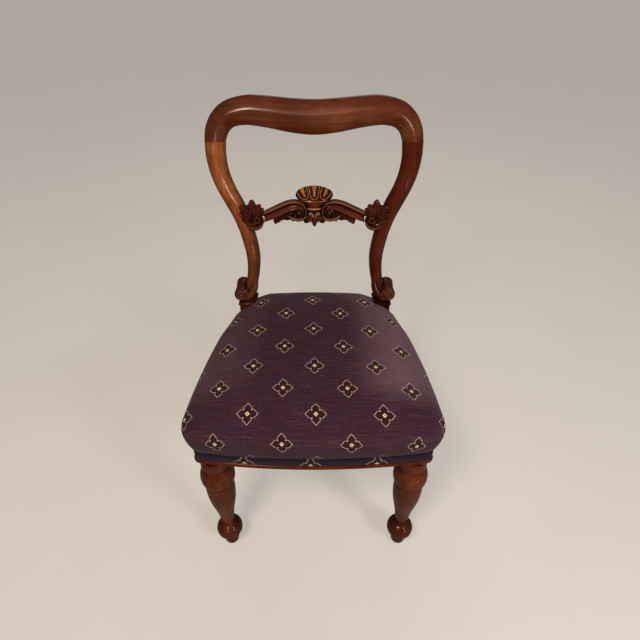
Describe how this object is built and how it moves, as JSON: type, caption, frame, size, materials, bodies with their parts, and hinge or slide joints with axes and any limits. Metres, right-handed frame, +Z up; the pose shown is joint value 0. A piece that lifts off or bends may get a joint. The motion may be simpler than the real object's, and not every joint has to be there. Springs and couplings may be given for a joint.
{
  "type": "balloon back chair",
  "caption": "Side chair with an open balloon back, a carved mid rail, a crowned upholstered seat and turned front legs.",
  "frame": {"origin": "on the floor under the middle of the chair", "axes": "+Z up, the front faces -Y, +X to the right as seen from the front"},
  "size_m": [0.485, 0.4933, 0.8623],
  "materials": {
    "polished_wood": "French polished mahogany",
    "frame_wood": "sawn beech",
    "dowel_wood": "plain beech dowel",
    "steel": "plain steel",
    "webbing": "jute webbing",
    "hessian": "jute hessian",
    "stuffing": "curled horsehair",
    "wadding": "cotton wadding",
    "cover_fabric": "ribbed weave, aubergine with a cream diaper figure"
  },
  "bodies": {
    "root": {"crest_rail": "polished_wood", "right_stile": "polished_wood", "left_stile": "polished_wood", "mid_rail": "polished_wood", "front_right_leg": "polished_wood", "front_left_leg": "polished_wood", "front_strip": "polished_wood", "right_strip": "polished_wood", "left_strip": "polished_wood", "front_rail": "frame_wood", "right_side_rail": "frame_wood", "left_side_rail": "frame_wood", "back_rail": "frame_wood", "front_right_corner_block": "frame_wood", "front_left_corner_block": "frame_wood", "rear_right_corner_block": "frame_wood", "rear_left_corner_block": "frame_wood", "rail_dowels": "dowel_wood", "crest_dowels": "dowel_wood", "mid_rail_dowels": "dowel_wood", "corner_block_screws": "steel", "webbing_tacks": "steel", "cover_tacks": "steel", "webbing_lengthwise_1": "webbing", "webbing_lengthwise_2": "webbing", "webbing_lengthwise_3": "webbing", "webbing_lengthwise_4": "webbing", "webbing_crosswise_1": "webbing", "webbing_crosswise_2": "webbing", "webbing_crosswise_3": "webbing", "seat_hessian": "hessian", "seat_stuffing": "stuffing", "seat_wadding": "wadding", "seat_cover": "cover_fabric", "cover_band": "cover_fabric", "rear_cover_band": "cover_fabric"}
  },
  "joints": []
}
